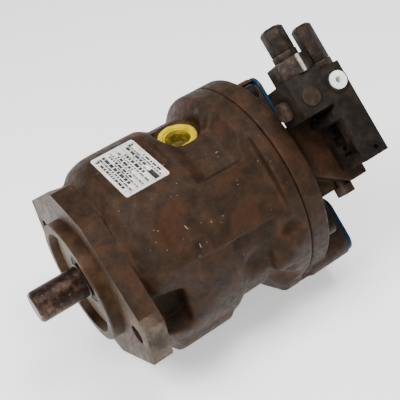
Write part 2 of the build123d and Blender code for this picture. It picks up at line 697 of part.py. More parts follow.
with BuildPart() as valve_body:
    with BuildSketch(spool_section(VALVE_BLOCK_P[1])) as block_outline:
        with Locations((sum(VALVE_BLOCK_X) / 2, (VALVE_BASE_Q + VALVE_TOP_Q) / 2)):
            Rectangle(VALVE_BLOCK_X[1] - VALVE_BLOCK_X[0], VALVE_TOP_Q - VALVE_BASE_Q)
        chamfer(block_outline.vertices().sort_by(Axis.X)[-2:].sort_by(Axis.Z)[-1:], 5)
    extrude(amount=VALVE_BLOCK_P[1] - VALVE_BLOCK_P[0])
    with BuildSketch(spool_section(FLOW_BLOCK_P[1])):
        with Locations(((FLOW_BLOCK_X[0] + VALVE_BLOCK_X[0] + 6) / 2, (FLOW_BASE_Q + VALVE_TOP_Q) / 2)):
            Rectangle(VALVE_BLOCK_X[0] + 6 - FLOW_BLOCK_X[0], VALVE_TOP_Q - FLOW_BASE_Q)
    extrude(amount=FLOW_BLOCK_P[1] - FLOW_BLOCK_P[0])
    with BuildSketch(valve_level(VALVE_BASE_Q)):
        with Locations((VALVE_BLOCK_X[0], 16)):
            Circle(6)
    extrude(amount=VALVE_TOP_Q - VALVE_BASE_Q)
    with BuildSketch(valve_level(VALVE_TOP_Q)):
        with Locations((PILOT_PORT_X, PILOT_PORT_P)):
            Circle(10.8)
    extrude(amount=2)
    # open recess that gives the inner screws their spanner room
    with BuildSketch(valve_level(RECESS_FLOOR_Q)):
        with Locations((241, -7)):
            Rectangle(14, 32)
    extrude(amount=11, mode=Mode.SUBTRACT)
    with BuildSketch(valve_level(RECESS_FLOOR_Q)):
        with Locations((238.5, -7)):
            Rectangle(9, 32)
    extrude(amount=27, mode=Mode.SUBTRACT)
    # spool bores, pilot port, blanking plug holes and screw holes
    with BuildSketch(spool_section(VALVE_BLOCK_P[1])):
        with Locations((PRESSURE_X, SPOOL_Q)):
            Circle(SPOOL_RADIUS + 0.05)
    extrude(amount=78, mode=Mode.SUBTRACT)
    with BuildSketch(spool_section(FLOW_BLOCK_P[1])):
        with Locations((FLOW_X, SPOOL_Q)):
            Circle(SPOOL_RADIUS + 0.05)
    extrude(amount=33, mode=Mode.SUBTRACT)
    with BuildSketch(valve_level(VALVE_TOP_Q + 2)):
        with Locations((PILOT_PORT_X, PILOT_PORT_P)):
            Circle(5.5)
    extrude(amount=-12, mode=Mode.SUBTRACT)
    for x, p, seat in VALVE_SCREWS:
        with BuildSketch(valve_level(VALVE_BASE_Q)):
            with Locations((x, p)):
                Circle(VALVE_SCREW_RADIUS)
        extrude(amount=seat - VALVE_BASE_Q, mode=Mode.SUBTRACT)
    for x, p, seat in VALVE_SCREWS[2:]:
        with BuildSketch(valve_level(seat)):
            with Locations((x, p)):
                Circle(5.2)
        extrude(amount=VALVE_TOP_Q - seat, mode=Mode.SUBTRACT)
save(valve_body, "valve_body")

screw_places = []
for x, p, seat in VALVE_SCREWS:
    spot = SHAFT_DIR * x + PORT_DIR * p + VALVE_DIR * seat
    screw_places.append((Plane(origin=spot, x_dir=(1, 0, 0), z_dir=VALVE_DIR), seat))
with BuildPart() as valve_screws:
    for place, seat in screw_places:
        add(cap_screws([place], VALVE_SCREW_RADIUS, seat - VALVE_BASE_Q + VALVE_SCREW_DEPTH, 5, 5.5).part)
save(valve_screws, "valve_screws")

# ---- spools, springs and adjusters ----
SPOOL_GAP = 2.5
FLOW_SPOOL_P = (31.0, 47.0)
PRESSURE_SPOOL_P = (-17.0, 33.0)
CAP_P = (62.0, 79.0)
CAP_FLATS = 35.0
NUT_HEIGHT = 7.0
ADJUSTERS = (("flow_adjuster", FLOW_X, CAP_P[1], 111.0, 20.0, 5.0),
             ("pressure_adjuster", PRESSURE_X, VALVE_BLOCK_P[1], 101.0, 17.0, 0.0))


def spool(x, p0, p1, lands):
    """Spool along P between p0 and p1 with waists between its lands."""
    waist = (p1 - p0) / (2 * lands - 1)
    with BuildPart(mode=Mode.PRIVATE) as piece:
        with BuildSketch(spool_section(p1)):
            with Locations((x, SPOOL_Q)):
                Circle(SPOOL_RADIUS - 2)
        extrude(amount=p1 - p0)
        for land in range(lands):
            with BuildSketch(spool_section(p1 - 2 * land * waist)):
                with Locations((x, SPOOL_Q)):
                    Circle(SPOOL_RADIUS)
            extrude(amount=waist)
    return piece


save(spool(FLOW_X, *FLOW_SPOOL_P, 2), "flow_spool")
save(spool(PRESSURE_X, *PRESSURE_SPOOL_P, 3), "pressure_spool")

with BuildPart() as spool_springs:
    for x, p0, p1 in ((FLOW_X, FLOW_SPOOL_P[1] + SPOOL_GAP, CAP_P[0]),
                      (PRESSURE_X, PRESSURE_SPOOL_P[1] + SPOOL_GAP, VALVE_BLOCK_P[1])):
        start = SHAFT_DIR * x + VALVE_DIR * SPOOL_Q
        add(coil_spring(p0, p1, 3.6, 0.6, 4, start, PORT_DIR).part)
save(spool_springs, "spool_springs")

with BuildPart() as spool_end_cap:
    with BuildSketch(spool_section(CAP_P[1])):
        with Locations((FLOW_X, SPOOL_Q - 3)):
            RegularPolygon(CAP_FLATS / 2, 6, major_radius=False, rotation=30)
    extrude(amount=CAP_P[1] - CAP_P[0])
    with BuildSketch(spool_section(CAP_P[1])):
        with Locations((FLOW_X, SPOOL_Q)):
            Circle(NECK_BORE_RADIUS)
    extrude(amount=8, mode=Mode.SUBTRACT)
save(spool_end_cap, "spool_end_cap")

with BuildPart() as lock_nuts:
    for node, x, base, tip, flats, reach in ADJUSTERS:
        with BuildSketch(spool_section(base + NUT_HEIGHT)):
            with Locations((x, SPOOL_Q)):
                RegularPolygon(flats / 2 + 0.4, 6, major_radius=False, rotation=30)
                Circle(NECK_BORE_RADIUS, mode=Mode.SUBTRACT)
        extrude(amount=NUT_HEIGHT)
save(lock_nuts, "adjuster_lock_nuts")

for node, x, base, tip, flats, reach in ADJUSTERS:
    with BuildPart() as adjuster:
        with BuildSketch(spool_section(base + NUT_HEIGHT + RUN_GAP)):
            with Locations((x, SPOOL_Q)):
                Circle(NECK_BORE_RADIUS - 0.1)
        extrude(amount=NUT_HEIGHT + reach)
        with BuildSketch(spool_section(base + NUT_HEIGHT + RUN_GAP)):
            with Locations((x, SPOOL_Q)):
                RegularPolygon(flats / 2, 6, major_radius=False, rotation=30)
        extrude(amount=-(tip - base - NUT_HEIGHT - RUN_GAP))
        chamfer(adjuster.faces().sort_by(Axis(origin=(0, 0, 0), direction=PORT_DIR))[-1].edges(), 2.4)
    save(adjuster, node)

# ---- plugs on the controller and on the port plate ----
PILOT_PLUG_HOLE = 3.2

with BuildPart() as pilot_port_plug:
    with BuildSketch(valve_level(VALVE_TOP_Q + 2)):
        with Locations((PILOT_PORT_X, PILOT_PORT_P)):
            Circle(8.4)
            Circle(PILOT_PLUG_HOLE, mode=Mode.SUBTRACT)
    extrude(amount=2)
    with BuildSketch(valve_level(VALVE_TOP_Q + 2)):
        with Locations((PILOT_PORT_X, PILOT_PORT_P)):
            Circle(5.4)
            Circle(PILOT_PLUG_HOLE, mode=Mode.SUBTRACT)
    extrude(amount=-8)
    with BuildSketch(valve_level(VALVE_TOP_Q - 6)):
        with Locations((PILOT_PORT_X, PILOT_PORT_P)):
            Circle(5.4)
    extrude(amount=1)
save(pilot_port_plug, "pilot_port_plug")

with BuildPart() as blanking_plugs:
    with BuildSketch(valve_level(VALVE_TOP_Q)):
        with Locations((222, 40)):
            Circle(9)
    extrude(amount=1.6)
    with BuildSketch(Plane(origin=(FLOW_BLOCK_X[0], 0, 0), x_dir=PORT_DIR, z_dir=(-1, 0, 0))):
        with Locations((40, -121)):
            Circle(9)
    extrude(amount=7)
    with BuildSketch(spool_section(BLOCK_P[0])):
        with Locations((END_PLUG_X, END_PLUG_Q)):
            RegularPolygon(9, 6, major_radius=False)
    extrude(amount=9)
    with BuildSketch(spool_section(BLOCK_P[0])):
        with Locations((END_PLUG_X, END_PLUG_Q)):
            Circle(6)
    extrude(amount=-10)
save(blanking_plugs, "blanking_plugs")
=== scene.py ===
"""Looks for the axial piston pump: cast and machined skins over the CAD frame, materials, light, camera."""

import json
import math
import random

import bmesh
import bpy
from mathutils import Matrix, Vector, noise


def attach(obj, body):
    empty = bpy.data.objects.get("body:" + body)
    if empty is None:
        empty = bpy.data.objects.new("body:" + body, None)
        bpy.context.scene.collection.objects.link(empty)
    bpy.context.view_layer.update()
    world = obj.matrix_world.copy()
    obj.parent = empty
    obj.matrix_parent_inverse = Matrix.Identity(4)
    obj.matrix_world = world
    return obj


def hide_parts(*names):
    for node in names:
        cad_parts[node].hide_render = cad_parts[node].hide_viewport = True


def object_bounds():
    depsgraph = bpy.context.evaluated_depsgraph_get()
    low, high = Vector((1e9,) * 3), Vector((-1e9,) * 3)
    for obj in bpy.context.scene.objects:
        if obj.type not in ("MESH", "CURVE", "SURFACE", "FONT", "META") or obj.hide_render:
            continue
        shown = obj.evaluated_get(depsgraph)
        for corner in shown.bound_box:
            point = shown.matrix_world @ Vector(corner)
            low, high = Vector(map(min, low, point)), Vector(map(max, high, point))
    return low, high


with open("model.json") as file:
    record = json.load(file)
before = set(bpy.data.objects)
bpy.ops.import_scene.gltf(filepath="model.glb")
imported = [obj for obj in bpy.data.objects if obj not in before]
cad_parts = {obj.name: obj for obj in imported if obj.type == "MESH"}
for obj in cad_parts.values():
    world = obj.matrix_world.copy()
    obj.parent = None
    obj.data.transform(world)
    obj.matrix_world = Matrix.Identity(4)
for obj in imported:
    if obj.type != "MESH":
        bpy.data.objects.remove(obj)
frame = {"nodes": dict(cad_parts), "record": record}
cad_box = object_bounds()

MM = 0.001
C45 = math.cos(math.radians(45))
AXIS_X = Vector((1, 0, 0))
AXIS_P = Vector((0, C45, C45))
AXIS_Q = Vector((0, -C45, C45))
JOINT_X = 185.0
RIM = 109.5
ROOT = "pump_body"


def at(x, p, q):
    """Point in metres from millimetres along the shaft, port and valve directions."""
    return (AXIS_X * x + AXIS_P * p + AXIS_Q * q) * MM


# ---- materials ----
def ramp_node(nodes, stops):
    ramp = nodes.new("ShaderNodeValToRGB")
    while len(ramp.color_ramp.elements) < len(stops):
        ramp.color_ramp.elements.new(0.5)
    for element, (place, colour) in zip(ramp.color_ramp.elements, stops):
        element.position = place
        element.color = (*colour, 1)
    return ramp


def noise_node(nodes, links, coords, scale, detail, rough=0.6, warp=0.0):
    node = nodes.new("ShaderNodeTexNoise")
    node.inputs["Scale"].default_value = scale
    node.inputs["Detail"].default_value = detail
    node.inputs["Roughness"].default_value = rough
    node.inputs["Distortion"].default_value = warp
    links.new(coords, node.inputs["Vector"])
    return node


def mix_colour(nodes, links, factor, first, second):
    node = nodes.new("ShaderNodeMix")
    node.data_type = "RGBA"
    links.new(factor, node.inputs["Factor"])
    for socket, value in ((node.inputs[6], first), (node.inputs[7], second)):
        if isinstance(value, tuple):
            socket.default_value = (*value, 1)
        else:
            links.new(value, socket)
    return node.outputs[2]


def surface(name, stops, scale=30.0, detail=8.0, rough=(0.45, 0.75), metal=0.0, bump=0.25, grain=900.0,
            specks=None, speck_limit=0.7, speck_scale=260.0, blotch=None, blotch_limit=(0.55, 0.68),
            blotch_scale=14.0, painted_highlight_band=None, shine=0.16):
    """Procedural finish: a noise ramp, optional blotches and specks, an optional bright band for a painted highlight,
    uneven roughness and a fine bump.
    """
    material = bpy.data.materials.new(name)
    material.use_nodes = True
    nodes = material.node_tree.nodes
    links = material.node_tree.links
    shader = nodes["Principled BSDF"]
    coords = nodes.new("ShaderNodeTexCoord").outputs["Object"]
    base = noise_node(nodes, links, coords, scale, detail, 0.66, 0.1)
    ramp = ramp_node(nodes, stops)
    links.new(base.outputs["Fac"], ramp.inputs["Fac"])
    colour = ramp.outputs["Color"]
    if blotch:
        patch = noise_node(nodes, links, coords, blotch_scale, 5, 0.65, 1.2)
        mask = ramp_node(nodes, [(blotch_limit[0], (0, 0, 0)), (blotch_limit[1], (1, 1, 1))])
        links.new(patch.outputs["Fac"], mask.inputs["Fac"])
        colour = mix_colour(nodes, links, mask.outputs["Color"], colour, blotch)
    # Optional ragged bright band on either side of a plane through centre: a painted highlight streak mixed into the
    # base colour.
    if painted_highlight_band:
        centre, normal, width, tint = painted_highlight_band
        offset = nodes.new("ShaderNodeVectorMath")
        offset.operation = "SUBTRACT"
        links.new(coords, offset.inputs[0])
        offset.inputs[1].default_value = centre
        dot = nodes.new("ShaderNodeVectorMath")
        dot.operation = "DOT_PRODUCT"
        links.new(offset.outputs[0], dot.inputs[0])
        dot.inputs[1].default_value = normal
        away = nodes.new("ShaderNodeMath")
        away.operation = "ABSOLUTE"
        links.new(dot.outputs["Value"], away.inputs[0])
        ragged = noise_node(nodes, links, coords, 420, 6, 0.75)
        spread = nodes.new("ShaderNodeMath")
        spread.operation = "MULTIPLY_ADD"
        links.new(ragged.outputs["Fac"], spread.inputs[0])
        spread.inputs[1].default_value = width * 2.4
        links.new(away.outputs[0], spread.inputs[2])
        band = nodes.new("ShaderNodeMapRange")
        band.inputs["From Min"].default_value = width * 1.25
        band.inputs["From Max"].default_value = width * 2.6
        band.inputs["To Min"].default_value = 1
        band.inputs["To Max"].default_value = 0
        links.new(spread.outputs[0], band.inputs["Value"])
        colour = mix_colour(nodes, links, band.outputs["Result"], colour, tint)
    if specks:
        fine = noise_node(nodes, links, coords, speck_scale, 6, 0.8, 0.6)
        mask = ramp_node(nodes, [(speck_limit, (0, 0, 0)), (speck_limit + 0.05, (1, 1, 1))])
        links.new(fine.outputs["Fac"], mask.inputs["Fac"])
        colour = mix_colour(nodes, links, mask.outputs["Color"], colour, specks)
    links.new(colour, shader.inputs["Base Color"])
    gloss = noise_node(nodes, links, coords, scale * 2.1, 7, 0.6, 0.2)
    spread = nodes.new("ShaderNodeMapRange")
    spread.inputs["From Min"].default_value = 0.3
    spread.inputs["From Max"].default_value = 0.7
    spread.inputs["To Min"].default_value = rough[0]
    spread.inputs["To Max"].default_value = rough[1]
    links.new(gloss.outputs["Fac"], spread.inputs["Value"])
    links.new(spread.outputs["Result"], shader.inputs["Roughness"])
    shader.inputs["Metallic"].default_value = metal
    shader.inputs["Specular IOR Level"].default_value = shine
    if bump:
        pits = noise_node(nodes, links, coords, grain, 4, 0.6)
        lumps = noise_node(nodes, links, coords, grain / 7, 5, 0.6)
        total = nodes.new("ShaderNodeMath")
        total.operation = "ADD"
        links.new(pits.outputs["Fac"], total.inputs[0])
        links.new(lumps.outputs["Fac"], total.inputs[1])
        relief = nodes.new("ShaderNodeBump")
        relief.inputs["Strength"].default_value = bump
        relief.inputs["Distance"].default_value = 0.0012
        links.new(total.outputs[0], relief.inputs["Height"])
        links.new(relief.outputs["Normal"], shader.inputs["Normal"])
    return material


CAST = surface("cast_iron_rusty", [(0.28, (0.0085, 0.0040, 0.0017)), (0.45, (0.0180, 0.0084, 0.0034)),
                                   (0.60, (0.0290, 0.0140, 0.0057)), (0.78, (0.056, 0.030, 0.0135))],
               scale=75, rough=(0.4, 0.66), metal=0.1, bump=0.6, grain=900, specks=(0.2, 0.155, 0.11),
               speck_limit=0.675, blotch=(0.050, 0.018, 0.006), blotch_limit=(0.5, 0.75), blotch_scale=22)
FLANGE = surface("flange_worn", [(0.3, (0.0115, 0.0058, 0.0027)), (0.5, (0.029, 0.0148, 0.0068)),
                                 (0.7, (0.066, 0.038, 0.02))],
                 scale=34, rough=(0.4, 0.68), metal=0.15, bump=0.35, grain=800, specks=(0.3, 0.23, 0.16),
                 speck_limit=0.69, blotch=(0.07, 0.048, 0.03), blotch_limit=(0.58, 0.72), blotch_scale=17)
EDGE = surface("ear_edge_worn", [(0.32, (0.018, 0.0115, 0.007)), (0.48, (0.05, 0.035, 0.023)),
                                 (0.68, (0.135, 0.103, 0.072))],
               scale=44, rough=(0.45, 0.7), metal=0.15, bump=0.4, grain=700, blotch=(0.04, 0.022, 0.012),
               blotch_scale=26)
CREAM = surface("recess_floor", [(0.3, (0.05, 0.033, 0.019)), (0.48, (0.11, 0.08, 0.05)),
                                 (0.68, (0.2, 0.155, 0.105))],
                scale=34, rough=(0.35, 0.6), metal=0.2, bump=0.15, grain=500, blotch=(0.085, 0.037, 0.016),
                blotch_limit=(0.58, 0.72), blotch_scale=24)
OCHRE = surface("recess_wall", [(0.32, (0.015, 0.0075, 0.0035)), (0.5, (0.037, 0.018, 0.008)),
                                (0.7, (0.085, 0.046, 0.023))],
                scale=40, rough=(0.38, 0.62), metal=0.15, bump=0.25, grain=600, specks=(0.3, 0.22, 0.14),
                speck_limit=0.7)
# Shaft: the lower ramp stops are dark stained steel; the brightest stop and the near-white specks are painted highlight
# streaks and glints.
SHAFT = surface("shaft_stains_and_painted_glints", [(0.36, (0.012, 0.0075, 0.006)), (0.5, (0.03, 0.0165, 0.012)),
                                  (0.64, (0.09, 0.055, 0.04)), (0.75, (0.4, 0.33, 0.27))],
                scale=85, rough=(0.24, 0.5), metal=0.7, bump=0.3, grain=900, specks=(0.8, 0.76, 0.7),
                speck_limit=0.65, speck_scale=190)
VALVE = surface("valve_dark", [(0.3, (0.0035, 0.0026, 0.002)), (0.5, (0.0105, 0.0068, 0.0047)),
                               (0.72, (0.03, 0.0195, 0.013))],
                scale=70, rough=(0.36, 0.64), metal=0.2, bump=0.4, grain=900, specks=(0.16, 0.12, 0.09),
                speck_limit=0.71)
SPINDLE = surface("adjuster_steel", [(0.3, (0.005, 0.0034, 0.0024)), (0.5, (0.016, 0.0095, 0.0062)),
                                     (0.7, (0.046, 0.03, 0.02))],
                  scale=90, rough=(0.32, 0.56), metal=0.35, bump=0.35, grain=900)
# End cap: dark worn steel; the bright ragged band along the plane x = 229 mm is a painted highlight streak.
CAP = surface("end_cap_painted_highlight", [(0.3, (0.008, 0.0055, 0.004)), (0.5, (0.027, 0.0185, 0.0135)),
                               (0.7, (0.08, 0.06, 0.046))],
              scale=80, rough=(0.3, 0.5), metal=0.45, bump=0.35, grain=900,
              painted_highlight_band=(at(229, 70, 147), AXIS_X, 0.0021, (0.72, 0.68, 0.6)))
PLUG = surface("plug_rusty", [(0.3, (0.013, 0.0075, 0.005)), (0.5, (0.032, 0.019, 0.0125)), (0.7, (0.07, 0.046, 0.032))],
               scale=90, rough=(0.4, 0.6), metal=0.2, bump=0.3)
YELLOW = surface("yellow_plastic", [(0.3, (0.25, 0.165, 0.0)), (0.5, (0.46, 0.33, 0.0)), (0.7, (0.62, 0.46, 0.0))],
                 scale=70, rough=(0.34, 0.52), bump=0.12, blotch=(0.2, 0.13, 0.004), blotch_limit=(0.62, 0.72),
                 blotch_scale=90)
# Darker copy of the yellow for the hollow inside of the drain cap: painted shade in the recess.
YELLOW_PAINTED_SHADE = surface("yellow_inside_painted_shade", [(0.3, (0.02, 0.014, 0.002)), (0.5, (0.085, 0.058, 0.003)),
                                         (0.72, (0.3, 0.215, 0.006))],
                       scale=110, rough=(0.3, 0.5), bump=0.2)
WHITE = surface("white_plastic", [(0.3, (0.66, 0.66, 0.64)), (0.7, (0.86, 0.86, 0.84))], scale=60,
                rough=(0.35, 0.5), bump=0.05)
BLUE = surface("blue_plastic", [(0.3, (0.0015, 0.010, 0.028)), (0.6, (0.002, 0.028, 0.07)), (0.75, (0.006, 0.05, 0.12))],
               scale=50, rough=(0.3, 0.5), bump=0.1)
PLATE = surface("plate_aluminium", [(0.3, (0.4, 0.39, 0.36)), (0.5, (0.68, 0.67, 0.64)), (0.7, (0.85, 0.85, 0.82))],
                scale=60, rough=(0.34, 0.52), metal=0.2, bump=0.08, blotch=(0.16, 0.11, 0.075),
                blotch_limit=(0.64, 0.76), blotch_scale=45)
PRINT = surface("plate_print", [(0.3, (0.008, 0.007, 0.007)), (0.7, (0.06, 0.05, 0.045))], scale=120,
                rough=(0.5, 0.6), bump=0)
STEEL = surface("machined_steel", [(0.3, (0.3, 0.3, 0.29)), (0.7, (0.5, 0.49, 0.48))], scale=50,
                rough=(0.22, 0.38), metal=0.95, bump=0.05)
BRONZE = surface("bronze", [(0.3, (0.36, 0.22, 0.08)), (0.7, (0.6, 0.4, 0.18))], scale=50, rough=(0.25, 0.4),
                 metal=0.9, bump=0.05)
RUBBER = surface("black_rubber", [(0.3, (0.006, 0.006, 0.006)), (0.7, (0.022, 0.02, 0.018))], scale=60,
                 rough=(0.45, 0.65), bump=0.1)

BY_SLOT = {"cast_iron": CAST, "valve_iron": VALVE, "steel": STEEL, "shaft_steel": SHAFT, "bronze": BRONZE,
           "seal_rubber": RUBBER, "yellow_plastic": YELLOW, "white_plastic": WHITE, "blue_plastic": BLUE,
           "plate_aluminium": PLATE}
BY_NODE = {"spool_end_cap": CAP, "flow_adjuster": SPINDLE, "pressure_adjuster": SPINDLE, "blanking_plugs": PLUG,
           "adjuster_lock_nuts": SPINDLE, "seal_retaining_ring": SPINDLE}
SLOT_OF = {part["node"]: part["material_slot"] for part in frame["record"]["subparts"]}

for name, piece in frame["nodes"].items():
    finish = BY_NODE.get(name, BY_SLOT[SLOT_OF[name]])
    if not piece.data.materials:
        piece.data.materials.append(finish)
    for place in piece.material_slots:
        place.material = finish


# ---- mesh helpers ----
def add_object(name, mesh, finish):
    piece = bpy.data.objects.new(name, mesh)
    bpy.context.scene.collection.objects.link(piece)
    if finish is not None:
        mesh.materials.clear()
        for entry in finish if isinstance(finish, list) else [finish]:
            mesh.materials.append(entry)
    return piece


def from_bmesh(name, shape, finish):
    mesh = bpy.data.meshes.new(name)
    bmesh.ops.recalc_face_normals(shape, faces=shape.faces)
    shape.to_mesh(mesh)
    shape.free()
    return add_object(name, mesh, finish)


def shade(piece, angle=34.0):
    piece.data.shade_smooth()
    piece.data.set_sharp_from_angle(angle=math.radians(angle))


def bake(piece):
    """Applies a new piece's modifiers for good."""
    bpy.context.view_layer.update()
    mesh = bpy.data.meshes.new_from_object(piece.evaluated_get(bpy.context.evaluated_depsgraph_get()))
    piece.modifiers.clear()
    old = piece.data
    piece.data = mesh
    bpy.data.meshes.remove(old)


def prism(name, outline, origin, u, v, height, finish=None):
    """Solid with a polygon outline in mm along u and v from origin in mm, drawn out along u x v."""
    shape = bmesh.new()
    normal = u.cross(v)
    low = [shape.verts.new((origin + u * a + v * b) * MM) for a, b in outline]
    high = [shape.verts.new((origin + u * a + v * b + normal * height) * MM) for a, b in outline]
    shape.faces.new(low)
    shape.faces.new(high)
    for i in range(len(low)):
        j = (i + 1) % len(low)
        shape.faces.new((low[i], low[j], high[j], high[i]))
    return from_bmesh(name, shape, finish)


def circle(radius, steps=64, centre=(0.0, 0.0)):
    return [(centre[0] + radius * math.cos(2 * math.pi * i / steps),
             centre[1] + radius * math.sin(2 * math.pi * i / steps)) for i in range(steps)]


def rounded(corners, radius, steps=6):
    """Outline of a convex polygon with its corners rounded."""
    out = []
    count = len(corners)
    for i in range(count):
        here = Vector(corners[i])
        before = (Vector(corners[i - 1]) - here).normalized()
        after = (Vector(corners[(i + 1) % count]) - here).normalized()
        half = before.angle(after) / 2
        reach = radius / math.tan(half)
        centre = here + (before + after).normalized() * (radius / math.sin(half))
        start = here + before * reach - centre
        end = here + after * reach - centre
        turn = start.angle(end)
        for k in range(steps + 1):
            mix = k / steps
            arm = (start * math.sin((1 - mix) * turn) + end * math.sin(mix * turn)) / math.sin(turn)
            out.append(tuple(centre + arm))
    return out


def lathe(name, profile, origin, axis, finish, steps=96, closed=True):
    """Solid turned about axis from (along, radius) points in mm."""
    shape = bmesh.new()
    side = axis.orthogonal().normalized()
    other = axis.cross(side)
    rings = []
    for along, radius in profile:
        ring = []
        for k in range(steps if radius > 1e-6 else 1):
            angle = 2 * math.pi * k / steps
            arm = (side * math.cos(angle) + other * math.sin(angle)) * radius
            ring.append(shape.verts.new((origin + axis * along + arm) * MM))
        rings.append(ring)
    pairs = list(zip(rings, rings[1:]))
    if closed:
        pairs.append((rings[-1], rings[0]))
    for first, second in pairs:
        for k in range(steps):
            j = (k + 1) % steps
            corners = [first[k % len(first)], first[j % len(first)], second[j % len(second)], second[k % len(second)]]
            unique = list(dict.fromkeys(corners))
            if len(unique) > 2:
                shape.faces.new(unique)
    return from_bmesh(name, shape, finish)


def cut(piece, tool, operation="DIFFERENCE"):
    """Boolean with a helper solid that is then thrown away."""
    modifier = piece.modifiers.new("cut", "BOOLEAN")
    modifier.operation = operation
    modifier.solver = "EXACT"
    modifier.object = tool
    bake(piece)
    bpy.data.objects.remove(tool)


def soften(piece, width, segments=2, angle=30.0):
    modifier = piece.modifiers.new("bevel", "BEVEL")
    modifier.width = width * MM
    modifier.segments = segments
    modifier.limit_method = "ANGLE"
    modifier.angle_limit = math.radians(angle)
    bake(piece)


def weld(piece):
    """Joins a copied CAD mesh's loose triangles into clean flat faces."""
    shape = bmesh.new()
    shape.from_mesh(piece.data)
    bmesh.ops.remove_doubles(shape, verts=shape.verts, dist=1e-6)
    bmesh.ops.dissolve_limit(shape, angle_limit=math.radians(1.0), verts=shape.verts, edges=shape.edges)
    shape.to_mesh(piece.data)
    shape.free()


def copy_of(node, name, finish):
    mesh = frame["nodes"][node].data.copy()
    if "custom_normal" in mesh.attributes:
        mesh.attributes.remove(mesh.attributes["custom_normal"])
    return add_object(name, mesh, finish)


def cast_skin(piece, voxel, passes, lump):
    """Turns a sharp solid into a cast-looking one: even mesh, rounded edges, faint waviness."""
    modifier = piece.modifiers.new("remesh", "REMESH")
    modifier.mode = "VOXEL"
    modifier.voxel_size = voxel * MM
    modifier = piece.modifiers.new("smooth", "SMOOTH")
    modifier.factor = 0.5
    modifier.iterations = passes
    bake(piece)
    mesh = piece.data
    normals = [v.normal.copy() for v in mesh.vertices]
    for vertex, normal in zip(mesh.vertices, normals):
        wave = noise.noise(vertex.co * 45) * 0.65 + noise.noise(vertex.co * 160) * 0.3
        vertex.co += normal * wave * lump * MM
    mesh.shade_smooth()


def soften_region(piece, inside, rounds):
    """Smooths only the vertices for which inside(point in mm) is true."""
    group = piece.vertex_groups.new(name="soft")
    group.add([v.index for v in piece.data.vertices if inside(v.co / MM)], 1.0, "REPLACE")
    modifier = piece.modifiers.new("soft", "SMOOTH")
    modifier.factor = 0.5
    modifier.iterations = rounds
    modifier.vertex_group = "soft"
    bake(piece)
    piece.data.shade_smooth()


def dent(piece, dents):
    """Presses soft hollows into a skin: (x, p, q, half length, half width, depth) in mm, towards the shaft."""
    for vertex in piece.data.vertices:
        radius = math.hypot(vertex.co.y, vertex.co.z) / MM
        if radius < 80.5:
            continue
        out = Vector((0, vertex.co.y, vertex.co.z)).normalized()
        drop = 0.0
        for x, p, q, length, width, depth in dents:
            middle = (AXIS_P * p + AXIS_Q * q).normalized()
            along = (vertex.co.x / MM - x) / length
            across = radius * middle.angle(out) / width
            drop += depth * math.exp(-(along * along + across * across) ** 1.4)
        vertex.co -= out * min(drop, max(0.0, radius - 80.5)) * MM


def settle(piece, body=ROOT, nodes=()):
    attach(piece, body)
    if nodes:
        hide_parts(*nodes)
    return piece


def paint_faces(piece, rule):
    """rule(centre in mm, normal) gives each face's material index."""
    for face in piece.data.polygons:
        face.material_index = rule(face.center / MM, face.normal)


# ---- casing: a cast body with a machined flange in front ----
Y = Vector((0, 1, 0))
Z = Vector((0, 0, 1))
EAR = [(111, 24), (103, 30), (30, 86), (-30, 86), (-103, 30), (-111, 24), (-111, -24), (-103, -30),
       (-30, -86), (30, -86), (103, -30), (111, -24)]

casing = copy_of("housing", "casing_cast", CAST)
weld(casing)
cast_skin(casing, 1.8, 5, 0.3)
soften_region(casing, lambda v: 14 < v.x < 76 and abs(v.y) > 52 and math.hypot(v.y, v.z) > 68, 34)
dent(casing, [(46, -61, 76, 25, 25, 10), (168, -52, 83, 9, 11, 11), (132, -70, 68, 15, 14, 8),
              (163, -92, 34, 12, 12, 8), (46, 76, -61, 25, 25, 10), (132, -70, -68, 15, 14, 8),
              (168, -52, -83, 9, 11, 11)])
shape = bmesh.new()
shape.from_mesh(casing.data)
geometry = shape.verts[:] + shape.edges[:] + shape.faces[:]
bmesh.ops.bisect_plane(shape, geom=geometry, plane_co=(0.0155, 0, 0), plane_no=(-1, 0, 0), clear_outer=True)
shape.to_mesh(casing.data)
shape.free()
casing.data.shade_smooth()
settle(casing, nodes=("housing",))

flange = prism("casing_flange", rounded(EAR, 6.0), Vector((0, 0, 0)), Y, Z, 20.0)
cut(flange, lathe("tool", [(-12, 0), (-12, 61.3), (-10.8, 62.5), (6, 62.5), (6, 0)], Vector((0, 0, 0)), AXIS_X, None,
                  128, False), "UNION")
cut(flange, lathe("tool", [(-13, 0), (-13, 53.5), (-4, 50), (-4, 0)], Vector((0, 0, 0)), AXIS_X, None, 128, False))
cut(flange, lathe("tool", [(-5, 0), (-5, 27), (10, 27), (10, 38), (21, 38), (21, 0)], Vector((0, 0, 0)), AXIS_X,
                  None, 96, False))
for side in (1, -1):
    cut(flange, lathe("tool", [(-1, 0), (-1, 9), (21, 9), (21, 0)], Vector((0, 90 * side, 0)), AXIS_X, None, 48, False))
soften(flange, 1.4, 3)
flange.data.materials.clear()
for finish in (FLANGE, EDGE, CREAM, OCHRE, CAST):
    flange.data.materials.append(finish)


def flange_finish(centre, normal):
    radius = math.hypot(centre.y, centre.z)
    if centre.x < -0.3 and radius < 51.5 and normal.x < -0.7:
        return 2
    if radius < 63.5 and centre.x < 2:
        return 3
    if normal.x < -0.4:
        return 0
    if abs(centre.y) > 96 or (abs(normal.x) < 0.5 and centre.z < -20):
        return 1
    return 4


paint_faces(flange, flange_finish)
shade(flange)
settle(flange)

# ---- port plate ----
rear = copy_of("port_plate", "port_plate_cast", CAST)
weld(rear)
cast_skin(rear, 1.6, 4, 0.26)
settle(rear, nodes=("port_plate",))

# ---- controller ----
valve = copy_of("valve_body", "valve_block", VALVE)
weld(valve)
soften(valve, 1.1, 2)
shade(valve)
settle(valve, nodes=("valve_body",))

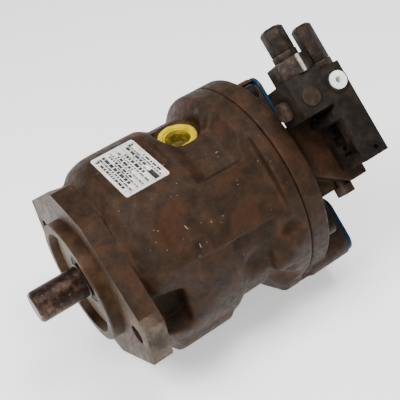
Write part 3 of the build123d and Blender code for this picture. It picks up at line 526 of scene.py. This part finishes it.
for node, finish, body, width in (("spool_end_cap", CAP, ROOT, 1.2), ("adjuster_lock_nuts", SPINDLE, ROOT, 0.6),
                                  ("flow_adjuster", SPINDLE, "flow_adjuster_body", 0.7),
                                  ("pressure_adjuster", SPINDLE, "pressure_adjuster_body", 0.7),
                                  ("blanking_plugs", PLUG, ROOT, 0.6), ("port_covers", BLUE, ROOT, 0.7),
                                  ("port_plate_screws", VALVE, ROOT, 0.7), ("name_plate", PLATE, ROOT, 0.25)):
    piece = copy_of(node, node + "_soft", finish)
    weld(piece)
    soften(piece, width, 2)
    shade(piece)
    settle(piece, body, (node,))

# ---- turned pieces seen close up ----
shaft = lathe("shaft_turned", [(-58, 0), (-58, 13.6), (-57.6, 14.1), (-56, 15.7), (-55.4, 16), (-8, 16), (-7, 17.5),
                               (10, 17.5), (10, 20), (100, 20), (100, 18), (176, 18), (176, 15), (203, 15), (203, 0)],
              Vector((0, 0, 0)), AXIS_X, SHAFT, 96, False)
slot_outline = [(-54 + 5 - 5 * math.sin(k * math.pi / 12), 5 * math.cos(k * math.pi / 12)) for k in range(13)]
slot_outline += [(-14 - 5 + 5 * math.sin(k * math.pi / 12), -5 * math.cos(k * math.pi / 12)) for k in range(13)]
KEY_ANGLE = math.radians(-67.5)
KEY_OUT = Vector((0, math.cos(KEY_ANGLE), math.sin(KEY_ANGLE)))
cut(shaft, prism("tool", slot_outline, KEY_OUT * 11, AXIS_X, KEY_OUT.cross(AXIS_X), 9.0))
shade(shaft)
settle(shaft, "rotor", ("drive_shaft",))

drain = Vector((131, 17, 0))
cup = lathe("drain_cap_turned", [(70, 0), (70, 12.2), (71, 12.8), (84, 12.8), (84, 19.0), (84.5, 19.4), (85.5, 19.4),
                                 (86.1, 18.9), (86.2, 18.2), (86.2, 15.6), (85.9, 15.0), (84.2, 14.2), (81.6, 13.9),
                                 (81.2, 13.4), (81.1, 11.2), (80.6, 10.7), (73, 10.3), (72, 9.6), (71.6, 8),
                                 (71.4, 0)],
            drain, Z, YELLOW, 96, False)
for vertex in cup.data.vertices:
    if vertex.co.z > 0.0845:
        angle = math.atan2(vertex.co.y - 0.017, vertex.co.x - 0.131)
        vertex.co.z += 0.00035 * math.sin(3 * angle + 0.6) * math.sin(7 * angle)
shade(cup, 50)
cup.data.materials.append(YELLOW_PAINTED_SHADE)
# Faces inside the cap's hollow take the darker yellow: painted shade.
paint_faces(cup, lambda centre, normal: 1 if centre.z < 81.5 and math.hypot(centre.x - 131, centre.y - 17) < 12.4
            else 0)
settle(cup, nodes=("drain_port_cap",))

lip = lathe("seal_turned", [(-3, 18.4), (-3.6, 20), (-3.6, 26.2), (-3.0, 27), (6, 27), (6, 22), (1, 21), (0, 17.9),
                            (-1.5, 17.7)], Vector((0, 0, 0)), AXIS_X, RUBBER, 96)
shade(lip, 50)
settle(lip, nodes=("shaft_seal",))

# ---- print on the name plate: bars and frames only ----
PLATE_TOP = 95.84
rng = random.Random(7)
shape = bmesh.new()


def bar(x0, x1, y0, y1):
    corners = [(x0, y0), (x1, y0), (x1, y1), (x0, y1)]
    shape.faces.new([shape.verts.new(Vector((x, y, PLATE_TOP)) * MM) for x, y in corners])


def word_row(x, height, y_start, y_end):
    y = y_start
    while y < y_end:
        length = rng.uniform(2.0, 7.5)
        bar(x, x + height, y, min(y + length, y_end))
        y += length + rng.uniform(0.8, 1.8)


PLATE_MID_X = 69.0
word_row(PLATE_MID_X - 19.6, 2.4, -22, 22)
for x, height, start, stop in ((-15.6, 1.6, -29, 29), (-12.9, 2.9, -20, 29), (-9.0, 1.3, -29, 12), (-7.0, 2.2, -14, 27),
                               (-3.4, 1.2, -29, 29), (-1.6, 2.6, -6, 20), (2.2, 1.4, -29, 25), (4.7, 3.0, -16, 18),
                               (9.2, 1.2, -29, 10), (11.4, 2.6, -8, 26), (15.2, 1.3, -29, 29), (17.8, 2.0, -24, 6)):
    word_row(PLATE_MID_X + x, height, start, stop)
for x in (-16.6, -9.9, -4.2, 1.3, 8.3, 14.4, 20.8):
    bar(PLATE_MID_X + x, PLATE_MID_X + x + 0.3, -31, 31)
bar(PLATE_MID_X + 9.0, PLATE_MID_X + 13.8, -30.6, -17)
for y in (-31, 30.7):
    bar(PLATE_MID_X - 20.5, PLATE_MID_X + 20.8, y, y + 0.3)
for x, y in ((-18.4, 27), (-18.4, -28), (18.2, 27)):
    outline = circle(2.4, 20, (PLATE_MID_X + x, y))
    shape.faces.new([shape.verts.new(Vector((a, b, PLATE_TOP + 0.01)) * MM) for a, b in outline])
printing = from_bmesh("plate_print_bars", shape, PRINT)
settle(printing)

# ---- pale chips and scratches on the casting, laid on its surface ----
shape = bmesh.new()
chips = random.Random(11)
view_tree = casing.evaluated_get(bpy.context.evaluated_depsgraph_get())
for k in range(150):
    place = chips.uniform(30, 180)
    angle = chips.uniform(0, 2 * math.pi)
    out = Vector((0, math.cos(angle), math.sin(angle)))
    hit, point, normal, index = view_tree.ray_cast(AXIS_X * (place * MM) + out * 0.2, -out)
    if not hit or math.hypot(point.y, point.z) < 0.082:
        continue
    side = normal.cross(Vector((chips.uniform(-1, 1), chips.uniform(-1, 1), chips.uniform(-1, 1)))).normalized()
    other = normal.cross(side)
    length = chips.uniform(0.25, 0.6) if k % 9 else chips.uniform(1.2, 2.8)
    width = chips.uniform(0.2, 0.42)
    ring = []
    for step in range(6):
        turn = step * math.pi / 3
        reach = chips.uniform(0.7, 1.2)
        ring.append(shape.verts.new(point + normal * 0.00009 + side * (math.cos(turn) * length * reach * MM)
                                    + other * (math.sin(turn) * width * reach * MM)))
    shape.faces.new(ring)
CHIP = surface("pale_chips", [(0.3, (0.1, 0.08, 0.06)), (0.7, (0.42, 0.37, 0.3))], scale=200, rough=(0.5, 0.7),
               bump=0)
flecks = from_bmesh("casing_chips", shape, CHIP)
settle(flecks)

# ---- stage, light and camera ----
floor_z = cad_box[0].z - 0.0004
bpy.ops.mesh.primitive_plane_add(size=60, location=(0, 0, floor_z))
floor = bpy.context.object
floor.name = "floor"
FLOOR = surface("floor_pale", [(0.3, (0.96, 0.96, 0.96)), (0.7, (0.98, 0.98, 0.98))], scale=2, rough=(0.6, 0.8),
                bump=0)
glow = FLOOR.node_tree.nodes["Principled BSDF"]
glow.inputs["Emission Color"].default_value = (1, 1, 1, 1)
glow.inputs["Emission Strength"].default_value = 0.55
floor.data.materials.append(FLOOR)

world = bpy.data.worlds.new("studio")
world.use_nodes = True
world.node_tree.nodes["Background"].inputs["Color"].default_value = (1, 1, 1, 1)
world.node_tree.nodes["Background"].inputs["Strength"].default_value = 0.5
bpy.context.scene.world = world


def softbox(name, place, target, size, power):
    light = bpy.data.lights.new(name, "AREA")
    light.energy = power
    light.size = size
    lamp = bpy.data.objects.new(name, light)
    lamp.location = place
    aim = Vector(target) - Vector(place)
    lamp.rotation_euler = aim.to_track_quat("-Z", "Y").to_euler()
    bpy.context.scene.collection.objects.link(lamp)


softbox("key", (-0.75, -0.1, 1.3), (0.08, 0, 0), 0.7, 30)
softbox("top", (0.45, -0.2, 1.4), (0.1, 0, 0), 0.6, 20)
softbox("front", (-1.0, -1.1, 0.5), (0.05, 0, 0), 0.9, 7)

RIGHT = Vector((0.8106, -0.5680, -0.1424))
UP = Vector((0.4746, 0.4949, 0.7279))
BACK = Vector((-0.3429, -0.6576, 0.6708))
camera = bpy.data.objects.new("camera", bpy.data.cameras.new("camera"))
camera.data.lens = 70.33
camera.data.sensor_width = 36
camera.data.clip_end = 50
bpy.context.scene.collection.objects.link(camera)
turning = Matrix((RIGHT, UP, BACK)).transposed().to_4x4()
turning.translation = Vector((-0.1340, -0.5119, 0.5356))
camera.matrix_world = turning
bpy.context.scene.camera = camera
